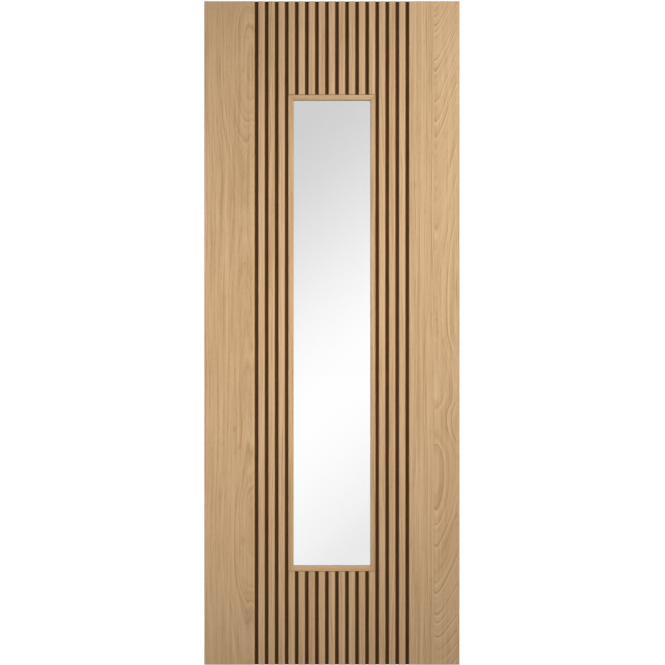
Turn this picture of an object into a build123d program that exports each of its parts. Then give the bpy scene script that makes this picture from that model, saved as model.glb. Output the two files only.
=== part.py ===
"""A glazed oak door leaf with a slatted middle, as a loose leaf: no frame, hinges or handle.

Millimetres. X runs across the leaf from its left edge, Y through its thickness with the front
face towards -Y, and Z up from the foot of the leaf. The origin is on the left edge, at the foot,
in the middle of the thickness. Left and right are as seen from the front.
"""

import os

from build123d import *

# Driving dimensions of the whole leaf
LEAF_WIDTH = 762.0
LEAF_HEIGHT = 1981.0
LEAF_THICKNESS = 35.0

# Slatted middle: long slats run the full height, short ones stop at the glazing
SLAT_WIDTH = 20.0
SLAT_THICKNESS = 6.0
GROOVE_WIDTH = 10.0
LONG_SLATS_PER_SIDE = 3
SHORT_SLATS = 9

# Layers behind the slats, and the solid strip on each long edge
BACKING_THICKNESS = 3.0
LIPPING_WIDTH = 8.0

# Glazing: a tall pane held by four mitred beads on each face
GLAZING_HEIGHT = 1423.0
BEAD_WIDTH = 15.0
BEAD_SETBACK = 1.0
SLAT_END_GAP = 0.8
GLASS_THICKNESS = 6.0
GLASS_EDGE_CLEARANCE = 3.0

# Eased edges
SLAT_ARRIS = 1.0
LIPPING_ARRIS = 1.0
BEAD_SIGHT_CHAMFER = 1.5
BEAD_OUTER_ARRIS = 0.6

# Places across the leaf
SLAT_PITCH = SLAT_WIDTH + GROOVE_WIDTH
SLAT_COUNT = 2 * LONG_SLATS_PER_SIDE + SHORT_SLATS
SLATTED_WIDTH = SLAT_COUNT * SLAT_PITCH + GROOVE_WIDTH
STILE_FACE_WIDTH = (LEAF_WIDTH - SLATTED_WIDTH) / 2
FIRST_SLAT_X = STILE_FACE_WIDTH + GROOVE_WIDTH
GLAZING_WIDTH = SHORT_SLATS * SLAT_PITCH - GROOVE_WIDTH
GLAZING_LEFT = FIRST_SLAT_X + LONG_SLATS_PER_SIDE * SLAT_PITCH
GLAZING_RIGHT = GLAZING_LEFT + GLAZING_WIDTH

# Places up the leaf
GLAZING_FOOT = (LEAF_HEIGHT - GLAZING_HEIGHT) / 2
GLAZING_HEAD = GLAZING_FOOT + GLAZING_HEIGHT

# Places through the leaf, on the front half: the back half mirrors it
FRONT_FACE = -LEAF_THICKNESS / 2
BACKING_FACE = FRONT_FACE + SLAT_THICKNESS
CORE_FACE = BACKING_FACE + BACKING_THICKNESS
BEAD_FACE = FRONT_FACE + BEAD_SETBACK
GLASS_FACE = -GLASS_THICKNESS / 2

PARTS_FOLDER = "parts"


def save(name, piece):
    """Writes one node of the leaf."""
    export_step(piece, os.path.join(PARTS_FOLDER, f"{name}.step"))


def save_on_both_faces(name, piece):
    """Writes a front piece, and its mirror image on the back of the leaf."""
    save(f"front_{name}", piece)
    save(f"back_{name}", mirror(piece, about=Plane.XZ))


def block(x_span, y_span, z_span):
    """A plain square-edged piece between two corners."""
    low = Vector(x_span[0], y_span[0], z_span[0])
    high = Vector(x_span[1], y_span[1], z_span[1])
    return Pos(*((low + high) / 2)) * Box(*(high - low))


def upright_strip(x_span, z_span, eased=(True, True)):
    """A strip as thick as a slat on the front face, its front arrises eased left and right."""
    section = Pos(sum(x_span) / 2, (FRONT_FACE + BACKING_FACE) / 2) * Rectangle(
        x_span[1] - x_span[0], SLAT_THICKNESS
    )
    front_corners = section.vertices().group_by(Axis.Y)[0].sort_by(Axis.X)
    corners = [corner for corner, wanted in zip(front_corners, eased) if wanted]
    return Pos(Z=z_span[0]) * extrude(chamfer(corners, SLAT_ARRIS), z_span[1] - z_span[0])


def slat(index, z_span):
    """The slat that is number index from the left, counted from 0."""
    left = FIRST_SLAT_X + index * SLAT_PITCH
    return upright_strip((left, left + SLAT_WIDTH), z_span)


def glazing_bead(length):
    """A bead along X with its outer side on Z = 0, mitred at both ends, in its place in depth."""
    section = make_face(
        Polyline(
            (BEAD_FACE + BEAD_OUTER_ARRIS, 0),
            (GLASS_FACE, 0),
            (GLASS_FACE, BEAD_WIDTH),
            (BEAD_FACE + BEAD_SIGHT_CHAMFER, BEAD_WIDTH),
            (BEAD_FACE, BEAD_WIDTH - BEAD_SIGHT_CHAMFER),
            (BEAD_FACE, BEAD_OUTER_ARRIS),
            close=True,
        )
    )
    bar = extrude(Plane.YZ.offset(-length / 2) * section, length)
    for end in (-1, 1):
        mitre = Plane(origin=(end * length / 2, 0, 0), x_dir=(0, 1, 0), z_dir=(-end, 0, -1))
        bar = split(bar, bisect_by=mitre, keep=Keep.TOP)
    return bar


def build_core():
    """Two uprights and two cross rails round the glazing, which show at the head and foot."""
    depth = (CORE_FACE, -CORE_FACE)
    whole_height = (0, LEAF_HEIGHT)
    glazing_span = (GLAZING_LEFT, GLAZING_RIGHT)
    save("core_left_stile", block((LIPPING_WIDTH, GLAZING_LEFT), depth, whole_height))
    save("core_right_stile", block((GLAZING_RIGHT, LEAF_WIDTH - LIPPING_WIDTH), depth, whole_height))
    save("core_top_rail", block(glazing_span, depth, (GLAZING_HEAD, LEAF_HEIGHT)))
    save("core_bottom_rail", block(glazing_span, depth, (0, GLAZING_FOOT)))


def build_backing_boards():
    """The dark boards that floor the grooves, in four pieces round the glazing on each face."""
    depth = (BACKING_FACE, CORE_FACE)
    whole_height = (0, LEAF_HEIGHT)
    glazing_span = (GLAZING_LEFT, GLAZING_RIGHT)
    boards = {
        "left": block((LIPPING_WIDTH, GLAZING_LEFT), depth, whole_height),
        "right": block((GLAZING_RIGHT, LEAF_WIDTH - LIPPING_WIDTH), depth, whole_height),
        "top": block(glazing_span, depth, (GLAZING_HEAD, LEAF_HEIGHT)),
        "bottom": block(glazing_span, depth, (0, GLAZING_FOOT)),
    }
    for place, board in boards.items():
        save_on_both_faces(f"{place}_backing_board", board)


def build_lippings():
    """A solid strip over the full thickness of each long edge, with its outer arrises eased."""
    section = Pos(LIPPING_WIDTH / 2) * Rectangle(LIPPING_WIDTH, LEAF_THICKNESS)
    outer_corners = section.vertices().group_by(Axis.X)[0]
    left_lipping = extrude(chamfer(outer_corners, LIPPING_ARRIS), LEAF_HEIGHT)
    middle_of_leaf = Plane(origin=(LEAF_WIDTH / 2, 0, 0), z_dir=(1, 0, 0))
    save("left_edge_lipping", left_lipping)
    save("right_edge_lipping", mirror(left_lipping, about=middle_of_leaf))


def build_stile_facings():
    """The wide veneered boards either side of the slats, eased only along the first groove."""
    whole_height = (0, LEAF_HEIGHT)
    left_span = (LIPPING_WIDTH, STILE_FACE_WIDTH)
    right_span = (LEAF_WIDTH - STILE_FACE_WIDTH, LEAF_WIDTH - LIPPING_WIDTH)
    save_on_both_faces("left_stile_facing", upright_strip(left_span, whole_height, (False, True)))
    save_on_both_faces("right_stile_facing", upright_strip(right_span, whole_height, (True, False)))


def build_long_slats():
    """The slats that run the full height, numbered outwards from the glazing on each side."""
    whole_height = (0, LEAF_HEIGHT)
    for number in range(1, LONG_SLATS_PER_SIDE + 1):
        left_index = LONG_SLATS_PER_SIDE - number
        right_index = LONG_SLATS_PER_SIDE + SHORT_SLATS + number - 1
        save_on_both_faces(f"left_slat_{number}", slat(left_index, whole_height))
        save_on_both_faces(f"right_slat_{number}", slat(right_index, whole_height))


def build_short_slats():
    """The rows of slats above and below the glazing, one node a row, a hairline short of the beads."""
    indexes = range(LONG_SLATS_PER_SIDE, LONG_SLATS_PER_SIDE + SHORT_SLATS)
    rows = {
        "upper": (GLAZING_HEAD + SLAT_END_GAP, LEAF_HEIGHT),
        "lower": (0, GLAZING_FOOT - SLAT_END_GAP),
    }
    for place, z_span in rows.items():
        row = Compound(children=[slat(index, z_span) for index in indexes])
        save_on_both_faces(f"{place}_slats", row)


def build_glazing():
    """The pane, and the mitred beads that clamp it from both faces."""
    middle_x = (GLAZING_LEFT + GLAZING_RIGHT) / 2
    middle_z = (GLAZING_FOOT + GLAZING_HEAD) / 2
    glass_span_x = (GLAZING_LEFT + GLASS_EDGE_CLEARANCE, GLAZING_RIGHT - GLASS_EDGE_CLEARANCE)
    glass_span_z = (GLAZING_FOOT + GLASS_EDGE_CLEARANCE, GLAZING_HEAD - GLASS_EDGE_CLEARANCE)
    save("glass_pane", block(glass_span_x, (GLASS_FACE, -GLASS_FACE), glass_span_z))

    beads = {
        "bottom": Pos(middle_x, 0, GLAZING_FOOT) * glazing_bead(GLAZING_WIDTH),
        "top": Pos(middle_x, 0, GLAZING_HEAD) * Rot(Y=180) * glazing_bead(GLAZING_WIDTH),
        "left": Pos(GLAZING_LEFT, 0, middle_z) * Rot(Y=90) * glazing_bead(GLAZING_HEIGHT),
        "right": Pos(GLAZING_RIGHT, 0, middle_z) * Rot(Y=-90) * glazing_bead(GLAZING_HEIGHT),
    }
    for place, bead in beads.items():
        save_on_both_faces(f"{place}_glazing_bead", bead)


os.makedirs(PARTS_FOLDER, exist_ok=True)
build_core()
build_backing_boards()
build_lippings()
build_stile_facings()
build_long_slats()
build_short_slats()
build_glazing()
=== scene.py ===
# %% [markdown]
# # A slatted oak door leaf with a tall pane
#
# This lesson dresses a finished CAD door leaf. The CAD part already has every piece at its real size
# and in its real place, so nothing is measured again here. What is left is what a joiner's workshop
# adds after sawing: rounded slat edges, eased mitres, oak figure, a dark stain in the grooves, and glass.

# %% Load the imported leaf
import math

import bmesh
import bpy
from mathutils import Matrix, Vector


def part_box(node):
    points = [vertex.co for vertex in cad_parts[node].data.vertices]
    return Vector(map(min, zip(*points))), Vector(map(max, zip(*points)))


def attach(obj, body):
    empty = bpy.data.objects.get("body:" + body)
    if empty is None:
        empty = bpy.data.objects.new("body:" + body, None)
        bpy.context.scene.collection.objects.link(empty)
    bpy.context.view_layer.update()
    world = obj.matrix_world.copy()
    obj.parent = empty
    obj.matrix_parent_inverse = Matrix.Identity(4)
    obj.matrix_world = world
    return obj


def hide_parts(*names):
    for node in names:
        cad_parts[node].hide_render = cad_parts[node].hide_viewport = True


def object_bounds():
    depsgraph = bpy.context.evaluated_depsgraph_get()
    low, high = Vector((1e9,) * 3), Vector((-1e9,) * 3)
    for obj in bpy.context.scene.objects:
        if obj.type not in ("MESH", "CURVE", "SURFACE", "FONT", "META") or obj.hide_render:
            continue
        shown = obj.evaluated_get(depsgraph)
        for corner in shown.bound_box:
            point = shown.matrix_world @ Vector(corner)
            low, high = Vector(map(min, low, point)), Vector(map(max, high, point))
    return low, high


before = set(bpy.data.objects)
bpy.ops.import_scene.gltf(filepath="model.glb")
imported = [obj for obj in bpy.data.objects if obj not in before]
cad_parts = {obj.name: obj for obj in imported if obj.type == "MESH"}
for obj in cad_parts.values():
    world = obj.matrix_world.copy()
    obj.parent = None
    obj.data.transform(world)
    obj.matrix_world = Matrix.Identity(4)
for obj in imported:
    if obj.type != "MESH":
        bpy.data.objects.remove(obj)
cad_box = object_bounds()
scene = bpy.context.scene
MM = 0.001
print("leaf size in mm:", [round(v / MM, 1) for v in cad_box[1] - cad_box[0]])

# %% [markdown]
# ## Small helpers for node trees
#
# A material or a geometry tree is a list of nodes and links. It could be drawn by hand in the node editor,
# but a script can draw it again with other sizes. A few short helpers keep the cells below readable. They
# set an input, add a node, do one step of arithmetic, bend smoothly from one value to another, make noise
# that is drawn out along the grain, and turn a share into a colour. An input is either a plain value or
# another node's output, and the first helper tells them apart.

# %% Node helpers
NOISE_ROUGHNESS = 0.55
NOISE_MIDDLE = 0.5


def feed(tree, socket, value):
    """Puts a value on an input, or links another node's output to it."""
    if isinstance(value, bpy.types.NodeSocket):
        tree.links.new(value, socket)
    else:
        socket.default_value = value


def add_node(tree, kind, inputs=None, **settings):
    """Adds a node, sets its own settings, then its inputs by name or number."""
    node = tree.nodes.new(kind)
    for name, value in settings.items():
        setattr(node, name, value)
    for key, value in (inputs or {}).items():
        feed(tree, node.inputs[key], value)
    return node


def calc(tree, operation, *values):
    """One step of arithmetic on numbers."""
    inputs = dict(enumerate(values))
    return add_node(tree, "ShaderNodeMath", inputs, operation=operation).outputs[0]


def smooth_step(tree, value, low, high, start=0.0, end=1.0):
    """Start below low, end above high, and an even bend between them."""
    names = {"Value": value, "From Min": low, "From Max": high, "To Min": start, "To Max": end}
    return add_node(tree, "ShaderNodeMapRange", names, interpolation_type="SMOOTHSTEP").outputs["Result"]


def about_zero(tree, value):
    """A value from 0 to 1, moved down to swing about 0."""
    return calc(tree, "SUBTRACT", value, NOISE_MIDDLE)


def stretched_noise(tree, place, across, along, detail, grain_on="Z"):
    """Soft noise from 0 to 1, whose grains are so many mm across and so many mm along one axis."""
    sizes = [1 / along if axis == grain_on else 1 / across for axis in "XYZ"]
    scaled = add_node(tree, "ShaderNodeVectorMath", {0: place, 1: sizes}, operation="MULTIPLY")
    inputs = {"Vector": scaled.outputs[0], "Scale": 1.0, "Detail": detail, "Roughness": NOISE_ROUGHNESS}
    return add_node(tree, "ShaderNodeTexNoise", inputs).outputs["Fac"]


def colour_ramp(tree, share, stops, bend="LINEAR"):
    """A colour that follows a share from 0 to 1, through stops of place and colour."""
    node = add_node(tree, "ShaderNodeValToRGB", {"Fac": share})
    ramp = node.color_ramp
    ramp.interpolation = bend
    ends = [(ramp.elements[0], stops[0]), (ramp.elements[1], stops[-1])]
    for element, (position, colour) in ends:
        element.position = position
        element.color = colour
    for position, colour in stops[1:-1]:
        ramp.elements.new(position).color = colour
    return node.outputs["Color"]


print("node helpers ready")

# %% [markdown]
# ## Where a point lies in the wood
#
# Every finish here starts from the point that is being shaded, in mm in the frame of the leaf. UV maps
# would have to be unwrapped for each piece. The Object coordinates need no unwrapping, and they run on
# from one piece to the next, as the grain of a real board does.

# %% Place and empty finish


def place_in_mm(tree):
    """The point being shaded, in mm in the frame of the leaf."""
    where = add_node(tree, "ShaderNodeTexCoord").outputs["Object"]
    scaled = add_node(tree, "ShaderNodeVectorMath", {0: where, "Scale": 1 / MM}, operation="SCALE")
    return scaled.outputs[0]


def apart(tree, place):
    """A point's three numbers."""
    return add_node(tree, "ShaderNodeSeparateXYZ", {0: place}).outputs


def new_finish(name):
    """An empty material, its node tree and its output node."""
    finish = bpy.data.materials.new(name)
    finish.use_nodes = True
    tree = finish.node_tree
    tree.nodes.clear()
    return finish, tree, add_node(tree, "ShaderNodeOutputMaterial")


print("finishes are placed in mm from the left edge and the foot of the leaf")

# %% [markdown]
# ## Oak, as a tree grew it
#
# The lines on a board are growth rings cut lengthwise. Where the saw passes close to the middle of the
# log, the rings leave the face as arches that nest in each other. Further out they run as straight lines.
# An image of wood would repeat and blur. A ring field does neither: each point of the board is given its
# distance from the middle of the log in mm, and the colour follows that distance.
#
# Two things are drawn along the ring field. One is uneven growth, light and dark, as noise that is narrow
# across the rings and long along them. The other is the crisp edge of a season: a dark line with a pale
# one beside it, which come and go.

# %% Ring lines
RING_SPACING = 7.0
RING_RUN = 330.0
RING_DETAIL = 4.0
RING_ROUGHNESS = 0.72
EDGE_SPACING = 13.0
EDGE_JITTER = 0.5
EDGE_DARK_LINE = (0.0, 0.08, 0.12, 0.22)
EDGE_PALE_LINE = (0.16, 0.26, 0.30, 0.48)
COVER_ACROSS = 2 * EDGE_SPACING
COVER_ALONG = RING_RUN / 2
COVER_DETAIL = 1.0
COVER_FROM_TO = (0.38, 0.62)


def ring_figure(tree, rings, along):
    """Light and dark growth, about 0: uneven lines that follow the ring field and wander along it."""
    ring_place = calc(tree, "DIVIDE", rings, RING_SPACING)
    run_place = calc(tree, "DIVIDE", along, RING_RUN)
    spot = add_node(tree, "ShaderNodeCombineXYZ", {"X": ring_place, "Z": run_place}).outputs[0]
    inputs = {"Vector": spot, "Scale": 1.0, "Detail": RING_DETAIL, "Roughness": RING_ROUGHNESS}
    growth = add_node(tree, "ShaderNodeTexNoise", inputs).outputs["Fac"]
    return about_zero(tree, growth)


def line_in_ring(tree, phase, begins, full_from, full_to, ends):
    """1 on a line with soft sides, by the place inside one ring, which goes from 0 to 1."""
    rise = smooth_step(tree, phase, begins, full_from)
    fall = smooth_step(tree, phase, full_to, ends, 1.0, 0.0)
    return calc(tree, "MULTIPLY", rise, fall)


def ring_edges(tree, rings, along):
    """The crisp edge of a season's growth, about 0: a dark line, then a pale one, that come and go."""
    turns = calc(tree, "DIVIDE", rings, EDGE_SPACING)
    number = calc(tree, "FLOOR", turns)
    chance = add_node(tree, "ShaderNodeTexWhiteNoise", {"W": number}, noise_dimensions="1D").outputs["Value"]
    phase = calc(tree, "MULTIPLY_ADD", chance, -EDGE_JITTER, calc(tree, "FRACT", turns))
    dark = line_in_ring(tree, phase, *EDGE_DARK_LINE)
    pale = line_in_ring(tree, phase, *EDGE_PALE_LINE)
    ring_place = calc(tree, "DIVIDE", rings, COVER_ACROSS)
    run_place = calc(tree, "DIVIDE", along, COVER_ALONG)
    spot = add_node(tree, "ShaderNodeCombineXYZ", {"Y": ring_place, "Z": run_place}).outputs[0]
    inputs = {"Vector": spot, "Scale": 1.0, "Detail": COVER_DETAIL}
    cover = add_node(tree, "ShaderNodeTexNoise", inputs).outputs["Fac"]
    shown = smooth_step(tree, cover, *COVER_FROM_TO)
    return calc(tree, "MULTIPLY", calc(tree, "SUBTRACT", pale, dark), shown)


print("ring lines about", RING_SPACING, "mm apart, season edges about", EDGE_SPACING, "mm apart")

# %% [markdown]
# ## Lacquered oak
#
# The colour is built in layers, as it is in real oak: the ring lines, their crisp edges, fine fibres and
# longer threads, broad light and dark bands, and pores that the lacquer leaves slightly open. Each layer
# adds to one shade, and a ramp of three oak colours turns the shade into colour. Mixing a colour for each
# layer would work too, but with one shade the wood can't leave its own range of colours. The pores are
# also rougher than the lacquer, and they and the season edges give a very shallow bump.
#
# Each grain below is given as mm across, mm along, and how many finer layers of noise it has.

# %% Oak surface
OAK_LIGHT = (0.735, 0.520, 0.310, 1.0)
OAK_MIDDLE = (0.645, 0.437, 0.244, 1.0)
OAK_DARK = (0.490, 0.300, 0.150, 1.0)
OAK_STOPS = [(0.0, OAK_DARK), (0.5, OAK_MIDDLE), (1.0, OAK_LIGHT)]
MIDDLE_SHADE = 0.5
FIBRE_GRAIN = (1.6, 130.0, 3.0)
THREAD_GRAIN = (5.0, 420.0, 2.0)
BAND_GRAIN = (34.0, 700.0, 2.0)
PORE_GRAIN = (1.0, 15.0, 1.0)
PORE_FROM_TO = (0.60, 0.72)
RING_STRENGTH = 1.55
EDGE_STRENGTH = 0.40
FIBRE_STRENGTH = 0.95
BAND_STRENGTH = 0.55
PORE_STRENGTH = 0.36
EDGE_RELIEF = 0.5
BUMP_STRENGTH = 0.35
BUMP_DEPTH = 0.12 * MM
LACQUER_ROUGHNESS = 0.52
PORE_ROUGHNESS = 0.16
LACQUER_GLOSS = 0.30


def oak_surface(tree, place, rings, tone=0.0, dark_spots=0.0, grain_on="Z", edge_strength=EDGE_STRENGTH):
    """Colour, roughness and bump of lacquered oak, on a Principled shader that it returns."""
    along = apart(tree, place)[grain_on]
    edge = ring_edges(tree, rings, along)
    fibre = stretched_noise(tree, place, *FIBRE_GRAIN, grain_on)
    thread = stretched_noise(tree, place, *THREAD_GRAIN, grain_on)
    band = stretched_noise(tree, place, *BAND_GRAIN, grain_on)
    pore = smooth_step(tree, stretched_noise(tree, place, *PORE_GRAIN, grain_on), *PORE_FROM_TO)
    layers = [
        (ring_figure(tree, rings, along), RING_STRENGTH),
        (edge, edge_strength),
        (about_zero(tree, fibre), FIBRE_STRENGTH),
        (about_zero(tree, thread), FIBRE_STRENGTH),
        (about_zero(tree, band), BAND_STRENGTH),
        (pore, -PORE_STRENGTH),
    ]
    shade = MIDDLE_SHADE
    for layer, strength in layers:
        shade = calc(tree, "MULTIPLY_ADD", layer, strength, shade)
    shade = calc(tree, "ADD", shade, tone)
    shade = calc(tree, "SUBTRACT", shade, dark_spots)

    open_pores = calc(tree, "MULTIPLY", pore, -1.0)
    relief = calc(tree, "MULTIPLY_ADD", edge, EDGE_RELIEF, open_pores)
    bump_inputs = {"Height": relief, "Strength": BUMP_STRENGTH, "Distance": BUMP_DEPTH}
    bump = add_node(tree, "ShaderNodeBump", bump_inputs)
    return add_node(
        tree,
        "ShaderNodeBsdfPrincipled",
        {
            "Base Color": colour_ramp(tree, shade, OAK_STOPS),
            "Roughness": calc(tree, "MULTIPLY_ADD", pore, PORE_ROUGHNESS, LACQUER_ROUGHNESS),
            "Normal": bump.outputs["Normal"],
            "Specular IOR Level": LACQUER_GLOSS,
        },
    )


print("oak has fibres", FIBRE_GRAIN[0], "mm wide and pores", PORE_GRAIN[1], "mm long")

# %% [markdown]
# ## The veneer on the stiles
#
# Each wide stile is covered by knife-cut veneer up to a narrow solid lipping on the edge of the leaf.
# The left stile has one leaf whose arches bulge round two pale eyes near the slats. The right stile has
# two leaves that meet at its middle: straight lines on the inner leaf, and on the outer one the right-hand
# half of a row of arches, cut off sharp at the joint.
#
# A curve over the height says how far the rings are pushed sideways, and the push fades with distance
# from the arch's axis. Where the curve dips, the arches close into an eye. A few small knots bend the
# rings round them. A plain wave texture could draw arches too, but only evenly spaced ones.

# %% Arches and knots
LEAF_HEIGHT = (cad_box[1].z - cad_box[0].z) / MM
KNOT_REACH = 3
KNOT_SQUEEZE = (1.0, 0.0, 0.55)


def push_over_height(tree, height, points, most):
    """A smooth curve over the height of the leaf, in mm."""
    share = calc(tree, "DIVIDE", height, LEAF_HEIGHT)
    node = add_node(tree, "ShaderNodeFloatCurve", {"Value": share})
    curve = node.mapping.curves[0]
    curve.points[0].location = points[0]
    curve.points[1].location = points[-1]
    for point in points[1:-1]:
        curve.points.new(*point)
    node.mapping.update()
    return calc(tree, "MULTIPLY", node.outputs["Value"], most)


def arched_rings(tree, across, push, roundness, fades_over):
    """Rings round an axis: rounded at the axis, straight further out, pushed sideways by the curve."""
    squared = calc(tree, "MULTIPLY_ADD", across, across, roundness**2)
    reach = calc(tree, "SQRT", squared)
    fade = calc(tree, "EXPONENT", calc(tree, "DIVIDE", calc(tree, "ABSOLUTE", across), -fades_over))
    return calc(tree, "MULTIPLY_ADD", push, fade, reach)


def knots_on(tree, place, knots):
    """One bump for each knot, 1 at its middle and 0 at three radii, drawn out along the grain."""
    total = 0.0
    for across, height, radius in knots:
        middle = (across, 0.0, height)
        offset = add_node(tree, "ShaderNodeVectorMath", {0: place, 1: middle}, operation="SUBTRACT")
        sides = {0: offset.outputs[0], 1: KNOT_SQUEEZE}
        flat = add_node(tree, "ShaderNodeVectorMath", sides, operation="MULTIPLY")
        far = add_node(tree, "ShaderNodeVectorMath", {0: flat.outputs[0]}, operation="LENGTH")
        bump = smooth_step(tree, far.outputs["Value"], 0.0, KNOT_REACH * radius, 1.0, 0.0)
        total = calc(tree, "ADD", total, bump)
    return total


print("arches are drawn over a height of", round(LEAF_HEIGHT, 1), "mm")

# %% [markdown]
# ## Streaks, and painted light beside a groove
#
# The veneer also has upright streaks: paler sapwood, and a thin dark line where two leaves meet. Beside a
# groove the arris is darkened as painted shade, and just inside that a paler band is a painted highlight,
# stronger on an edge that faces the key lamp. Painting these by hand would tie them to one size of leaf.
# Here each follows a distance in mm, and the edges of the stiles come from the CAD box.

# %% Streaks and groove edges
LEFT_STILE_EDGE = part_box("front_left_stile_facing")[1].x / MM
RIGHT_STILE_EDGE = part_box("front_right_stile_facing")[0].x / MM
# Painted shade darkens the arris beside a groove. A painted highlight band lies just inside it, at full
# strength on an edge that faces the key lamp and at half strength on one that faces away.
ARRIS_SHADE_FROM_TO = (0.8, 2.6)
ARRIS_SHADE = -0.9
HIGHLIGHT_FROM_TO = (4.0, 8.0)
LIT_SIDE_HIGHLIGHT = 0.30
SHADED_SIDE_HIGHLIGHT = LIT_SIDE_HIGHLIGHT / 2


def streak_at(tree, across, middle, half_width, strength):
    """A soft upright streak: its strength at its middle, 0 at its edges."""
    away = calc(tree, "ABSOLUTE", calc(tree, "SUBTRACT", across, middle))
    return smooth_step(tree, away, 0.0, half_width, strength, 0.0)


def painted_light_by_groove(tree, from_edge, highlight):
    """Painted light beside a groove: painted shade over the arris, and next to it a painted highlight band.
    """
    outer = smooth_step(tree, from_edge, *ARRIS_SHADE_FROM_TO, ARRIS_SHADE, highlight)
    inner = smooth_step(tree, from_edge, *HIGHLIGHT_FROM_TO, highlight, 0.0)
    return calc(tree, "MINIMUM", outer, inner)


print("stiles end at", round(LEFT_STILE_EDGE, 1), "and", round(RIGHT_STILE_EDGE, 1), "mm")

# %% [markdown]
# ## The left stile
#
# The arches lean on an axis close to the slats, and the two dips of the curve are its two eyes. A knot is
# given as its place across, its height and its radius in mm, and a streak as its middle, its half width
# and its strength. A little noise lets the rings wander, because no tree grows evenly.

# %% Veneer of the left stile
WANDER_GRAIN = (60.0, 260.0, 1.0)
KNOT_BEND = -1.5
KNOT_DARKNESS = 0.24
LEFT_AXIS = 140.0
LEFT_ROUNDNESS = 24.0
LEFT_FADE = 66.0
LEFT_WANDER = 14.0
LEFT_EDGE_STRENGTH = 0.22
LEFT_PALE_EDGE = (0.0, 22.0, 0.16)
LEFT_PUSH = 62.0
LEFT_HEIGHTS = [
    (0.0, 0.80),
    (0.09, 0.40),
    (0.19, 0.0),
    (0.30, 0.30),
    (0.55, 0.66),
    (0.75, 0.95),
    (0.895, 0.0),
    (1.0, 0.75),
]
LEFT_KNOTS = [
    (130.0, 1874.0, 3.0),
    (115.0, 1776.0, 5.0),
    (90.0, 704.0, 3.0),
    (104.0, 651.0, 3.0),
    (115.0, 372.0, 4.5),
]

left_veneer, tree, output = new_finish("left_stile_oak_veneer")
place = place_in_mm(tree)
across_leaf, _, up_leaf = apart(tree, place)
wander = about_zero(tree, stretched_noise(tree, place, *WANDER_GRAIN))
knots = knots_on(tree, place, LEFT_KNOTS)
push = push_over_height(tree, up_leaf, LEFT_HEIGHTS, LEFT_PUSH)
from_axis = calc(tree, "SUBTRACT", across_leaf, LEFT_AXIS)
rings = arched_rings(tree, from_axis, push, LEFT_ROUNDNESS, LEFT_FADE)
rings = calc(tree, "MULTIPLY_ADD", wander, LEFT_WANDER, rings)
rings = calc(tree, "MULTIPLY_ADD", knots, KNOT_BEND, rings)
sapwood_and_painted_edge_light = streak_at(tree, across_leaf, *LEFT_PALE_EDGE)
# Painted light by the groove: painted shade on the arris and the full painted highlight band, as this edge
# faces the key lamp.
from_groove = calc(tree, "SUBTRACT", LEFT_STILE_EDGE, across_leaf)
sapwood_and_painted_edge_light = calc(tree, "ADD", sapwood_and_painted_edge_light, painted_light_by_groove(tree, from_groove, LIT_SIDE_HIGHLIGHT))
oak = oak_surface(
    tree,
    place,
    rings,
    tone=sapwood_and_painted_edge_light,
    dark_spots=calc(tree, "MULTIPLY", knots, KNOT_DARKNESS),
    edge_strength=LEFT_EDGE_STRENGTH,
)
tree.links.new(oak.outputs[0], output.inputs["Surface"])
print("made", left_veneer.name, "with", len(tree.nodes), "nodes and", len(LEFT_KNOTS), "knots")

# %% [markdown]
# ## The right stile
#
# Two leaves of veneer meet here, so there are two ring fields, and the joint decides which of them a point
# takes. The inner field is simply the distance across. The outer one has its axis on the joint, so that
# only half of each arch is left. A thin dark line marks the joint itself.

# %% Veneer of the right stile
RIGHT_JOINT = 686.5
RIGHT_ROUNDNESS = 11.0
RIGHT_FADE = 420.0
RIGHT_INNER_WANDER = 10.0
RIGHT_OUTER_WANDER = 8.0
RIGHT_EDGE_STRENGTH = 0.46
RIGHT_PALE_STREAK = (651.0, 7.0, 0.22)
RIGHT_JOINT_LINE = (RIGHT_JOINT, 1.6, 0.15)
RIGHT_PUSH = 300.0
RIGHT_HEIGHTS = [
    (0.0, 1.0),
    (0.18, 0.64),
    (0.30, 0.52),
    (0.37, 0.60),
    (0.41, 0.555),
    (0.52, 0.63),
    (0.70, 0.56),
    (0.80, 0.45),
    (1.0, 0.0),
]
RIGHT_KNOTS = [
    (655.0, 1858.0, 3.0),
    (700.0, 1698.0, 3.5),
    (632.0, 1432.0, 3.0),
    (713.0, 965.0, 3.0),
    (702.0, 298.0, 3.5),
]

right_veneer, tree, output = new_finish("right_stile_oak_veneer")
place = place_in_mm(tree)
across_leaf, _, up_leaf = apart(tree, place)
wander = about_zero(tree, stretched_noise(tree, place, *WANDER_GRAIN))
knots = knots_on(tree, place, RIGHT_KNOTS)
push = push_over_height(tree, up_leaf, RIGHT_HEIGHTS, RIGHT_PUSH)
from_joint = calc(tree, "SUBTRACT", across_leaf, RIGHT_JOINT)
outer_rings = arched_rings(tree, from_joint, push, RIGHT_ROUNDNESS, RIGHT_FADE)
outer_rings = calc(tree, "MULTIPLY_ADD", wander, RIGHT_OUTER_WANDER, outer_rings)
inner_rings = calc(tree, "MULTIPLY_ADD", wander, RIGHT_INNER_WANDER, across_leaf)
on_outer_leaf = calc(tree, "GREATER_THAN", across_leaf, RIGHT_JOINT)
either_leaf = {"Factor": on_outer_leaf, "A": inner_rings, "B": outer_rings}
rings = add_node(tree, "ShaderNodeMix", either_leaf).outputs["Result"]
rings = calc(tree, "MULTIPLY_ADD", knots, KNOT_BEND, rings)
streak_and_painted_edge_light = streak_at(tree, across_leaf, *RIGHT_PALE_STREAK)
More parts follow.
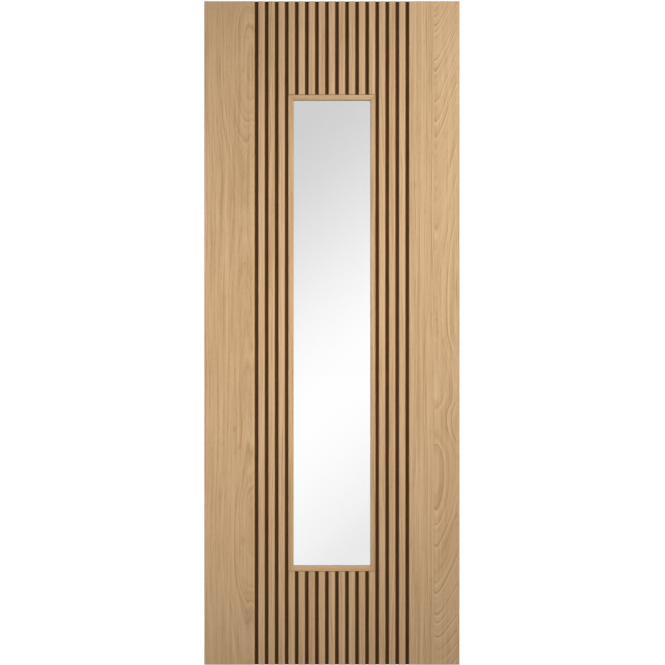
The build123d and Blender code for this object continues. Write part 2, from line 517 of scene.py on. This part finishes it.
# Painted light by the groove: painted shade on the arris and half the painted highlight band, as this edge
# faces away from the key lamp.
from_groove = calc(tree, "SUBTRACT", across_leaf, RIGHT_STILE_EDGE)
streak_and_painted_edge_light = calc(tree, "ADD", streak_and_painted_edge_light, painted_light_by_groove(tree, from_groove, SHADED_SIDE_HIGHLIGHT))
joint_line = streak_at(tree, across_leaf, *RIGHT_JOINT_LINE)
oak = oak_surface(
    tree,
    place,
    rings,
    tone=streak_and_painted_edge_light,
    dark_spots=calc(tree, "MULTIPLY_ADD", knots, KNOT_DARKNESS, joint_line),
    edge_strength=RIGHT_EDGE_STRENGTH,
)
tree.links.new(oak.outputs[0], output.inputs["Surface"])
print("made", right_veneer.name, "with", len(tree.nodes), "nodes and", len(RIGHT_KNOTS), "knots")

# %% [markdown]
# ## Oak for the slats, the beads and the lippings
#
# Every slat was ripped from a different board, so each has its own tone and its own run of grain. A
# material for each slat would give that, at the price of 48 materials. Instead, three numbers stored on
# each slat move it to its own spot in the wood. Along both edges of each slat the arris gets painted shade
# and a painted highlight band lies just inside it, stronger on the edge that faces the key lamp. The beads
# are short straight lengths, with the grain along each one, so the upright and the level beads need the
# same oak turned a quarter. A dark hairline of painted shade marks each mitre, where the joint lies in shade.

# %% Mitre lines and slat edges
MITRE_LINE = 1.2
MITRE_DARKNESS = 0.9
slat_low, slat_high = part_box("front_left_slat_1")
SLAT_WIDTH = slat_high.x - slat_low.x
SLAT_PITCH = slat_low.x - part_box("front_left_slat_2")[0].x


def mitre_shade_lines(tree, place):
    """Painted shade on the four mitres of the glazing, and 0 beside them."""
    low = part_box("front_left_glazing_bead")[0]
    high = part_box("front_right_glazing_bead")[1]
    across, _, up = apart(tree, place)
    from_left = calc(tree, "SUBTRACT", across, low.x / MM)
    from_right = calc(tree, "SUBTRACT", high.x / MM, across)
    from_foot = calc(tree, "SUBTRACT", up, low.z / MM)
    from_head = calc(tree, "SUBTRACT", high.z / MM, up)
    from_side = calc(tree, "MINIMUM", from_left, from_right)
    from_end = calc(tree, "MINIMUM", from_foot, from_head)
    away = calc(tree, "ABSOLUTE", calc(tree, "SUBTRACT", from_side, from_end))
    return smooth_step(tree, away, 0.0, MITRE_LINE, MITRE_DARKNESS, 0.0)


def painted_slat_edge_light(tree, place):
    """Painted light along both edges of each slat: painted shade on each arris, and a painted highlight band
    inside it, stronger on the right-hand edge that faces the key lamp.
    """
    pitch = SLAT_PITCH / MM
    across = apart(tree, place)[0]
    turns = calc(tree, "DIVIDE", calc(tree, "SUBTRACT", across, slat_low.x / MM), pitch)
    from_left = calc(tree, "MULTIPLY", calc(tree, "FRACT", turns), pitch)
    from_right = calc(tree, "SUBTRACT", SLAT_WIDTH / MM, from_left)
    left_side = painted_light_by_groove(tree, from_left, SHADED_SIDE_HIGHLIGHT)
    right_side = painted_light_by_groove(tree, from_right, LIT_SIDE_HIGHLIGHT)
    return calc(tree, "ADD", left_side, right_side)


print("slats are", round(SLAT_WIDTH / MM, 1), "mm wide and", round(SLAT_PITCH / MM, 1), "mm apart")

# %% Straight-grained finishes
SLAT_TONE_RANGE = 0.24
SLAT_LEAN = 0.07
SLATS_APART_IN_WOOD = 9000.0
RING_SLANT = 0.8
STRAIGHT_WANDER_GRAIN = (30.0, 300.0, 1.0)
STRAIGHT_WANDER = 16.0


def straight_oak(name, grain_on="Z", by_slat=False, mitred=False):
    """Straight-grained oak along one axis, from its own spot in the wood for each slat if asked."""
    finish, tree, output = new_finish(name)
    place = place_in_mm(tree)
    tone = 0.0
    lean = 0.0
    # A hairline of painted shade on each mitre of the beads.
    painted_mitre_shade = mitre_shade_lines(tree, place) if mitred else 0.0
    if by_slat:
        chance = add_node(tree, "ShaderNodeAttribute", attribute_name="slat_chance").outputs["Vector"]
        slat_edge_light = painted_slat_edge_light(tree, place)
        jump = {0: chance, "Scale": SLATS_APART_IN_WOOD}
        spot = add_node(tree, "ShaderNodeVectorMath", jump, operation="SCALE")
        place = add_node(tree, "ShaderNodeVectorMath", {0: place, 1: spot.outputs[0]}).outputs[0]
        first, second, _ = apart(tree, chance)
        # Each slat's own tone at random, plus the painted shade and painted highlight along its edges.
        tone = calc(tree, "MULTIPLY_ADD", about_zero(tree, first), SLAT_TONE_RANGE, slat_edge_light)
        lean = calc(tree, "MULTIPLY", about_zero(tree, second), SLAT_LEAN)
    parts = dict(zip("XYZ", apart(tree, place)))
    across = parts["Z"] if grain_on == "X" else parts["X"]
    crossing = calc(tree, "MULTIPLY_ADD", parts["Y"], RING_SLANT, across)
    wander = about_zero(tree, stretched_noise(tree, place, *STRAIGHT_WANDER_GRAIN, grain_on))
    rings = calc(tree, "MULTIPLY_ADD", wander, STRAIGHT_WANDER, crossing)
    rings = calc(tree, "ADD", rings, calc(tree, "MULTIPLY", parts[grain_on], lean))
    oak = oak_surface(tree, place, rings, tone, painted_mitre_shade, grain_on)
    tree.links.new(oak.outputs[0], output.inputs["Surface"])
    print("made", name, "with", len(tree.nodes), "nodes")
    return finish


slat_oak = straight_oak("slat_oak", "Z", by_slat=True)
upright_bead_oak = straight_oak("upright_bead_oak", "Z", mitred=True)
level_bead_oak = straight_oak("level_bead_oak", "X", mitred=True)
lipping_oak = straight_oak("lipping_oak", "Z")

# %% [markdown]
# ## The dark groove boards and the core
#
# The board behind the slats is stained dark brown before the slats go on, which is why the grooves stay
# even from top to bottom. A flat dark colour would do from afar, but a stain takes unevenly, so it gets
# faint streaks along the grain. The core only shows at the head and foot of the leaf, as sawn timber seen
# on its ends.

# %% Stain and core finishes
STAIN_DEEP = (0.066, 0.031, 0.0130, 1.0)
STAIN_WORN = (0.094, 0.047, 0.0215, 1.0)
STAIN_GRAIN = (2.0, 90.0, 3.0)
STAIN_BUMP = (0.2, 0.1 * MM)
STAIN_SURFACE = {"Roughness": 0.85, "Specular IOR Level": 0.08}
CORE_PALE = (0.640, 0.500, 0.330, 1.0)
CORE_DEEP = (0.500, 0.360, 0.210, 1.0)
CORE_GRAIN = (3.0, 9.0, 4.0)
CORE_BUMP = (0.4, 0.3 * MM)
CORE_SURFACE = {"Roughness": 0.8}
TONES_FROM_TO = (0.3, 0.7)


def streaked_board(name, grain, grain_on, tones, bump_sizes, surface):
    """A matt board with streaks between two tones, and a shallow bump that follows them."""
    finish, tree, output = new_finish(name)
    streak = stretched_noise(tree, place_in_mm(tree), *grain, grain_on)
    strength, depth = bump_sizes
    bump = add_node(tree, "ShaderNodeBump", {"Height": streak, "Strength": strength, "Distance": depth})
    stops = list(zip((0.0, 1.0), tones))
    colour = colour_ramp(tree, smooth_step(tree, streak, *TONES_FROM_TO), stops)
    inputs = {"Base Color": colour, "Normal": bump.outputs["Normal"], **surface}
    board = add_node(tree, "ShaderNodeBsdfPrincipled", inputs)
    tree.links.new(board.outputs[0], output.inputs["Surface"])
    print("made", name, "with", len(tree.nodes), "nodes")
    return finish


stain_tones = (STAIN_DEEP, STAIN_WORN)
core_tones = (CORE_DEEP, CORE_PALE)
groove_stain = streaked_board("dark_groove_stain", STAIN_GRAIN, "Z", stain_tones, STAIN_BUMP, STAIN_SURFACE)
core_timber = streaked_board("sawn_core_timber", CORE_GRAIN, "X", core_tones, CORE_BUMP, CORE_SURFACE)

# %% [markdown]
# ## The pane
#
# Clear glass has no colour of its own. The soft grey that the pane shows here is a painted reflection: a
# grey put into the glass's colour, greyest towards its head, so that it fades from soft grey to clear. A
# grey card for the pane to mirror would give such a fade from one side only. Here the painted grey sits in
# the glass itself, from corner to corner, and so it stays in place whichever side the pane is seen from.
#
# Each stop below is a share of the height and how light the painted grey is there.

# %% Glass finish
PANE_REFLECTION_STOPS = [
    (0.0, 0.785),
    (0.083, 0.865),
    (0.222, 0.955),
    (0.361, 1.0),
    (0.50, 0.962),
    (0.639, 0.852),
    (0.778, 0.736),
    (0.90, 0.646),
    (1.0, 0.606),
]
PANE_LEAN = 0.14
GLASS_IOR = 1.5
pane_low, pane_high = (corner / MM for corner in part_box("glass_pane"))


def share_between(tree, value, low, high):
    """How far a value has come from low to high, as a share."""
    return calc(tree, "DIVIDE", calc(tree, "SUBTRACT", value, low), high - low)


pane_glass, tree, output = new_finish("pane_glass")
across_leaf, _, up_leaf = apart(tree, place_in_mm(tree))
height_share = share_between(tree, up_leaf, pane_low.z, pane_high.z)
across_share = share_between(tree, across_leaf, pane_low.x, pane_high.x)
lean = calc(tree, "MULTIPLY", about_zero(tree, across_share), PANE_LEAN)
share = calc(tree, "SUBTRACT", height_share, lean)
painted_reflection_stops = [(height, (clear, clear, clear, 1.0)) for height, clear in PANE_REFLECTION_STOPS]
# The pane's grey is a painted reflection in the glass's colour. It is lightest about a third of the way up,
# greyest at the head, and leans across the pane.
painted_reflection_grey = colour_ramp(tree, share, painted_reflection_stops, "B_SPLINE")
glass_inputs = {"Base Color": painted_reflection_grey, "Roughness": 0.0, "IOR": GLASS_IOR, "Transmission Weight": 1.0}
glass = add_node(tree, "ShaderNodeBsdfPrincipled", glass_inputs)
tree.links.new(glass.outputs[0], output.inputs["Surface"])
print("pane is", round(pane_high.x - pane_low.x), "by", round(pane_high.z - pane_low.z), "mm")

# %% [markdown]
# ## The slats, by Geometry Nodes
#
# A slat is a rectangle with its two front corners rounded, drawn out over its length. An Array modifier
# could repeat one slat, but then all would show the same grain. One tree makes a whole row instead: it
# draws the section, rounds the corners that face the room, sweeps it up a line, repeats it along a row of
# points, and stores the numbers that give each slat its own wood. The leaf has four such rows on each
# face, and every size comes from the CAD slats that the row stands for.

# %% Inputs of the tree
ROW_SOCKETS = [
    ("Slat count", "NodeSocketInt"),
    ("First slat middle", "NodeSocketVector"),
    ("Slat pitch", "NodeSocketFloat"),
    ("Slat width", "NodeSocketFloat"),
    ("Slat thickness", "NodeSocketFloat"),
    ("Slat length", "NodeSocketFloat"),
    ("Edge radius", "NodeSocketFloat"),
    ("Turn to face", "NodeSocketFloat"),
    ("Wood seed", "NodeSocketInt"),
    ("Finish", "NodeSocketMaterial"),
]
slat_row = bpy.data.node_groups.new("row_of_slats", "GeometryNodeTree")
slat_row.is_modifier = True
socket_ids = {}
for socket_name, socket_type in ROW_SOCKETS:
    made = slat_row.interface.new_socket(socket_name, in_out="INPUT", socket_type=socket_type)
    socket_ids[socket_name] = made.identifier
slat_row.interface.new_socket("Geometry", in_out="OUTPUT", socket_type="NodeSocketGeometry")
asked = add_node(slat_row, "NodeGroupInput").outputs
print("tree", slat_row.name, "asks for", ", ".join(socket_ids))

# %% One slat
EDGE_STEPS = 4
section = add_node(
    slat_row,
    "GeometryNodeCurvePrimitiveQuadrilateral",
    {"Width": asked["Slat width"], "Height": asked["Slat thickness"]},
)
corner_y = apart(slat_row, add_node(slat_row, "GeometryNodeInputPosition").outputs[0])["Y"]
faces_room = calc(slat_row, "LESS_THAN", corner_y, 0.0)
rounded = add_node(
    slat_row,
    "GeometryNodeFilletCurve",
    {
        "Curve": section.outputs["Curve"],
        "Count": EDGE_STEPS,
        "Radius": calc(slat_row, "MULTIPLY", faces_room, asked["Edge radius"]),
    },
    mode="POLY",
)
top_point = add_node(slat_row, "ShaderNodeCombineXYZ", {"Z": asked["Slat length"]})
upright = add_node(slat_row, "GeometryNodeCurvePrimitiveLine", {"End": top_point.outputs[0]})
swept = add_node(
    slat_row,
    "GeometryNodeCurveToMesh",
    {"Curve": upright.outputs["Curve"], "Profile Curve": rounded.outputs["Curve"], "Fill Caps": True},
)
print("one slat takes", len(slat_row.nodes), "nodes")

# %% The whole row
step = add_node(slat_row, "ShaderNodeCombineXYZ", {"X": asked["Slat pitch"]})
points = add_node(
    slat_row,
    "GeometryNodeMeshLine",
    {"Count": asked["Slat count"], "Start Location": asked["First slat middle"], "Offset": step.outputs[0]},
)
turn = add_node(slat_row, "ShaderNodeCombineXYZ", {"Z": asked["Turn to face"]})
placed = add_node(
    slat_row,
    "GeometryNodeInstanceOnPoints",
    {"Points": points.outputs["Mesh"], "Instance": swept.outputs["Mesh"], "Rotation": turn.outputs[0]},
)
chance = add_node(slat_row, "FunctionNodeRandomValue", {"Seed": asked["Wood seed"]}, data_type="FLOAT_VECTOR")
marked = add_node(
    slat_row,
    "GeometryNodeStoreNamedAttribute",
    {"Geometry": placed.outputs[0], "Name": "slat_chance", "Value": chance.outputs["Value"]},
    data_type="FLOAT_VECTOR",
    domain="INSTANCE",
)
real = add_node(slat_row, "GeometryNodeRealizeInstances", {0: marked.outputs[0]})
finished = add_node(
    slat_row,
    "GeometryNodeSetMaterial",
    {"Geometry": real.outputs[0], "Material": asked["Finish"]},
)
result = add_node(slat_row, "NodeGroupOutput")
slat_row.links.new(finished.outputs[0], result.inputs["Geometry"])
print("tree", slat_row.name, "has", len(slat_row.nodes), "nodes")

# %% [markdown]
# ## From the tree to plain slats
#
# A modifier with the tree sits on an empty mesh only for a moment. Its sizes are set, the result is taken
# as a plain mesh, and the holder is removed. The sweep leaves doubled points at its ends, so they are
# merged, and then every face is turned outwards. The mesh is shaded smooth, except over edges sharper
# than a set angle, so that the rounded edges look round and the faces flat.

# %% Helpers for a clean mesh
SHARP_FROM = math.radians(35)
MERGE_WITHIN = 0.001 * MM
CM3_IN_M3 = 1e6


def box_of(nodes):
    """Lowest and highest corner of several CAD nodes."""
    lows, highs = zip(*(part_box(name) for name in nodes))
    lowest = Vector([min(corner[i] for corner in lows) for i in range(3)])
    highest = Vector([max(corner[i] for corner in highs) for i in range(3)])
    return lowest, highest


def face_outwards(mesh):
    """Merges doubled points, turns every face outwards and shades it smooth between sharp edges."""
    shape = bmesh.new()
    shape.from_mesh(mesh)
    bmesh.ops.remove_doubles(shape, verts=shape.verts[:], dist=MERGE_WITHIN)
    bmesh.ops.recalc_face_normals(shape, faces=shape.faces[:])
    for face in shape.faces:
        face.smooth = True
    open_edges = sum(1 for edge in shape.edges if not edge.is_manifold)
    volume = shape.calc_volume(signed=True) * CM3_IN_M3
    shape.to_mesh(mesh)
    shape.free()
    mesh.set_sharp_from_angle(angle=SHARP_FROM)
    print("  volume", round(volume, 1), "cm3, open edges", open_edges)


def stand_for(name, mesh, nodes):
    """A piece that rides with the leaf and stands for some CAD nodes."""
    piece = bpy.data.objects.new(name, mesh)
    scene.collection.objects.link(piece)
    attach(piece, "root")
    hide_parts(*nodes)
    return piece


print("shading turns sharp from", round(math.degrees(SHARP_FROM)), "degrees")

# %% Make the rows
EDGE_RADIUS = 1.7 * MM
FIRST_SEED = 3
SLATS_PER_SIDE = sum(1 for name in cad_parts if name.startswith("front_left_slat_"))
row_low, row_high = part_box("front_upper_slats")
SLATS_PER_ROW = 1 + round((row_high.x - row_low.x - SLAT_WIDTH) / SLAT_PITCH)


def make_slat_row(name, nodes, count, face, seed):
    """Runs the tree for one row and leaves its result as a plain mesh that stands for the CAD slats."""
    low, high = box_of(nodes)
    holder = bpy.data.objects.new(name + "_tree", bpy.data.meshes.new(name + "_tree"))
    scene.collection.objects.link(holder)
    modifier = holder.modifiers.new("row", "NODES")
    modifier.node_group = slat_row
    values = {
        "Slat count": count,
        "First slat middle": (low.x + SLAT_WIDTH / 2, (low.y + high.y) / 2, low.z),
        "Slat pitch": (high.x - low.x - SLAT_WIDTH) / (count - 1),
        "Slat width": SLAT_WIDTH,
        "Slat thickness": high.y - low.y,
        "Slat length": high.z - low.z,
        "Edge radius": EDGE_RADIUS,
        "Turn to face": 0.0 if face == "front" else math.pi,
        "Wood seed": seed,
        "Finish": slat_oak,
    }
    for socket_name, value in values.items():
        modifier[socket_ids[socket_name]] = value
    evaluated = holder.evaluated_get(bpy.context.evaluated_depsgraph_get())
    mesh = bpy.data.meshes.new_from_object(evaluated)
    mesh.name = name
    bpy.data.objects.remove(holder)
    face_outwards(mesh)
    piece = stand_for(name, mesh, nodes)
    size = [round(v / MM, 1) for v in piece.dimensions]
    print("made", name, "of", count, "slats,", size, "mm,", len(mesh.polygons), "faces")


seed = FIRST_SEED
for face in ("front", "back"):
    for side in ("left", "right"):
        own_nodes = [f"{face}_{side}_slat_{number}" for number in range(1, SLATS_PER_SIDE + 1)]
        make_slat_row(f"{face}_{side}_long_slats", own_nodes, SLATS_PER_SIDE, face, seed)
        seed += 1
    for level in ("upper", "lower"):
        make_slat_row(f"{face}_{level}_short_slats", [f"{face}_{level}_slats"], SLATS_PER_ROW, face, seed)
        seed += 1

# %% [markdown]
# ## The beads, with eased mitres
#
# Four beads meet at mitres round the pane. On the real leaf each bead was sanded before it was pinned in,
# so its edges are slightly round and the mitre shows as a hairline. The section could be drawn again, but
# the CAD bead already has it. So a copy of the bead is cleaned of its triangles, and every edge is eased
# by a fraction of a millimetre.

# %% Ease the beads
BEAD_EASE = 0.5 * MM
EASE_STEPS = 2
ROUND_PROFILE = 0.5
FLAT_WITHIN = math.radians(1)
BEAD_FINISHES = {
    "left": upright_bead_oak,
    "right": upright_bead_oak,
    "top": level_bead_oak,
    "bottom": level_bead_oak,
}


def eased_copy(node, finish):
    """A copy of a CAD node with its edges slightly rounded, standing for that node."""
    shape = bmesh.new()
    shape.from_mesh(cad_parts[node].data)
    bmesh.ops.remove_doubles(shape, verts=shape.verts[:], dist=MERGE_WITHIN)
    bmesh.ops.dissolve_limit(shape, angle_limit=FLAT_WITHIN, verts=shape.verts[:], edges=shape.edges[:])
    bmesh.ops.bevel(
        shape,
        geom=shape.edges[:],
        offset=BEAD_EASE,
        offset_type="OFFSET",
        segments=EASE_STEPS,
        profile=ROUND_PROFILE,
        affect="EDGES",
        clamp_overlap=True,
    )
    mesh = bpy.data.meshes.new(node + "_eased")
    shape.to_mesh(mesh)
    shape.free()
    face_outwards(mesh)
    mesh.materials.append(finish)
    return stand_for(node + "_eased", mesh, [node])


for face in ("front", "back"):
    for side, finish in BEAD_FINISHES.items():
        bead = eased_copy(f"{face}_{side}_glazing_bead", finish)
        print("eased", bead.name, "to", len(bead.data.polygons), "faces")

# %% [markdown]
# ## Finishes for the CAD pieces that stay
#
# Stile facings, lippings, boards, core and pane are already the right shape, so making them again would
# gain nothing. They only change their material. The lippings are solid strips, so their grain runs
# straight up and shows on the edge too.

# %% Assign finishes
FINISH_BY_NAME = [
    ("left_stile_facing", left_veneer),
    ("right_stile_facing", right_veneer),
    ("edge_lipping", lipping_oak),
    ("backing_board", groove_stain),
    ("core_", core_timber),
    ("glass_pane", pane_glass),
]
for node_name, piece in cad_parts.items():
    for part_of_name, finish in FINISH_BY_NAME:
        if part_of_name in node_name:
            piece.data.materials.clear()
            piece.data.materials.append(finish)
            print(node_name, "takes", finish.name)
            break

# %% [markdown]
# ## Floor and white surroundings
#
# The leaf stands in a white studio. More light would turn the background white, but it would also wash
# out the wood. So the camera, mirror-like reflections and the view through glass see plain white, while
# the light that falls on the wood comes from a much dimmer surround and from the lamps.

# %% Floor and surroundings
FLOOR_HALF = 40.0
FLOOR_GLOW = 0.960
FLOOR_GREY = (0.130, 0.148, 0.171, 1.0)
FLOOR_CORNERS = [(-1, -1), (1, -1), (1, 1), (-1, 1)]
SURROUND_LIGHT = 0.03
SKY_WHITE = (1.0, 0.88, 0.76)
PLAIN_WHITE = (1.0, 1.0, 1.0)


def seen_directly(tree):
    """1 for rays that a viewer sees by: straight, reflected or through glass."""
    path = add_node(tree, "ShaderNodeLightPath").outputs
    seen = calc(tree, "MAXIMUM", path["Is Camera Ray"], path["Is Glossy Ray"])
    return calc(tree, "MAXIMUM", seen, path["Is Transmission Ray"])


floor_finish, tree, output = new_finish("pale_floor")
pale = add_node(tree, "ShaderNodeBsdfDiffuse", {"Color": FLOOR_GREY})
glow_strength = calc(tree, "MULTIPLY", seen_directly(tree), FLOOR_GLOW)
glow = add_node(tree, "ShaderNodeEmission", {"Strength": glow_strength})
both = add_node(tree, "ShaderNodeAddShader", {0: pale.outputs[0], 1: glow.outputs[0]})
tree.links.new(both.outputs[0], output.inputs["Surface"])
floor_mesh = bpy.data.meshes.new("floor")
corners = [(x * FLOOR_HALF, y * FLOOR_HALF, 0.0) for x, y in FLOOR_CORNERS]
floor_mesh.from_pydata(corners, [], [range(len(corners))])
floor_mesh.materials.append(floor_finish)
floor = bpy.data.objects.new("floor", floor_mesh)
scene.collection.objects.link(floor)

surround = bpy.data.worlds.new("white_studio")
surround.use_nodes = True
tree = surround.node_tree
tree.nodes.clear()
soft = add_node(tree, "ShaderNodeBackground", {"Color": (*SKY_WHITE, 1.0), "Strength": SURROUND_LIGHT})
white = add_node(tree, "ShaderNodeBackground", {"Color": (*PLAIN_WHITE, 1.0), "Strength": 1.0})
choice = {0: seen_directly(tree), 1: soft.outputs[0], 2: white.outputs[0]}
either = add_node(tree, "ShaderNodeMixShader", choice)
output = add_node(tree, "ShaderNodeOutputWorld")
tree.links.new(either.outputs[0], output.inputs["Surface"])
scene.world = surround
print("floor", 2 * FLOOR_HALF, "m wide, surround light", SURROUND_LIGHT)

# %% [markdown]
# ## Lamps
#
# One large lamp straight in front would light the leaf evenly and make the slats look flat. So each face
# has two: a key lamp beyond the right-hand edge at the height of the head, which lights one side of every
# slat and leaves the other in shade, and a larger fill lamp in front of the left stile at half height.
# Two more lamps light the long edges, and a wide light from above brightens the ledges.
#
# A lamp on a face is given as its spot, its size in metres, its power in watts and its colour. That spot
# is metres across, away from the face, and up, so that the back is lit as the front is. An edge lamp is
# given as its spot in the frame of the leaf, the direction that it shines in, and its power.

# %% Lamps
WARM_WHITE = (1.0, 0.955, 0.925)
COOL_WHITE = (0.99, 1.0, 1.01)
HALF_THICKNESS = (cad_box[1].y - cad_box[0].y) / 2
FACE_LAMPS = [
    ("key_lamp", (1.60, 1.28, 1.95), 0.55, 16.2, COOL_WHITE),
    ("fill_lamp", (0.17, 1.60, 0.96), 0.80, 18.4, WARM_WHITE),
]
EDGE_LAMP_SIZE = 0.6
EDGE_LAMPS = [
    ("right_edge_lamp", (3.2, 0.0, 1.2), (-1.0, 0.0, -0.05), 26.0),
    ("left_edge_lamp", (-2.5, 0.5, 1.2), (1.0, -0.15, -0.05), 22.0),
]
SKY_STRENGTH = 1.0
SKY_SPREAD = math.radians(80)
SKY_SPOT = (0.4, -1.0, 4.0)
SKY_TOWARDS = (-0.10, 0.17, -0.98)


def hang_lamp(data, spot, towards, colour):
    """Puts a lamp in its place, turned along a direction, and keeps it out of sight and reflections."""
    data.color = colour
    lamp = bpy.data.objects.new(data.name, data)
    lamp.location = spot
    lamp.rotation_euler = Vector(towards).to_track_quat("-Z", "Y").to_euler()
    lamp.visible_camera = False
    lamp.visible_glossy = False
    lamp.visible_transmission = False
    scene.collection.objects.link(lamp)
    print("lamp", data.name, round(data.energy, 1), "at", [round(v, 2) for v in spot])


def soft_lamp(name, size, power):
    """A square lamp that glows over its whole face."""
    data = bpy.data.lights.new(name, "AREA")
    data.size = size
    data.energy = power
    return data


for face, side in (("front", -1), ("back", 1)):
    for kind, (across, away, height), size, power, colour in FACE_LAMPS:
        spot = (across, side * (HALF_THICKNESS + away), height)
        hang_lamp(soft_lamp(f"{face}_{kind}", size, power), spot, (0.0, -side, 0.0), colour)

for lamp_name, spot, towards, power in EDGE_LAMPS:
    hang_lamp(soft_lamp(lamp_name, EDGE_LAMP_SIZE, power), spot, towards, SKY_WHITE)

sky = bpy.data.lights.new("overhead_light", "SUN")
sky.energy = SKY_STRENGTH
sky.angle = SKY_SPREAD
hang_lamp(sky, SKY_SPOT, SKY_TOWARDS, SKY_WHITE)

# %% [markdown]
# ## Camera
#
# The leaf was photographed square on, with its upright edges parallel, so the camera is level, at the
# height of the leaf's middle, and points straight at it. The lens could be tried out by eye, but it
# follows from the distance and from how much of the picture the leaf fills. The leaf's middle lies a
# fraction of a pixel off the middle of the picture, and the camera stands off by as much.

# %% Camera
CAMERA_DISTANCE = 6.0
SENSOR_WIDTH = 36.0
LEVEL = math.radians(90)
PICTURE_SIZE = 665
LEAF_IN_PICTURE = 663.6
LEAF_MIDDLE_IN_PICTURE = (331.9, 333.0)
leaf_middle = (cad_box[0] + cad_box[1]) / 2
metres_per_pixel = LEAF_HEIGHT * MM / LEAF_IN_PICTURE
left_of_middle, above_middle = (PICTURE_SIZE / 2 - pixel for pixel in LEAF_MIDDLE_IN_PICTURE)
camera_data = bpy.data.cameras.new("front_camera")
camera_data.sensor_width = SENSOR_WIDTH
camera_data.lens = SENSOR_WIDTH * CAMERA_DISTANCE / (PICTURE_SIZE * metres_per_pixel)
camera = bpy.data.objects.new("front_camera", camera_data)
camera.location = (
    leaf_middle.x + left_of_middle * metres_per_pixel,
    cad_box[0].y - CAMERA_DISTANCE,
    leaf_middle.z - above_middle * metres_per_pixel,
)
camera.rotation_euler = (LEVEL, 0.0, 0.0)
scene.collection.objects.link(camera)
scene.camera = camera
scene.view_settings.view_transform = "Standard"
print("lens", round(camera_data.lens, 1), "mm at", [round(v, 3) for v in camera.location])
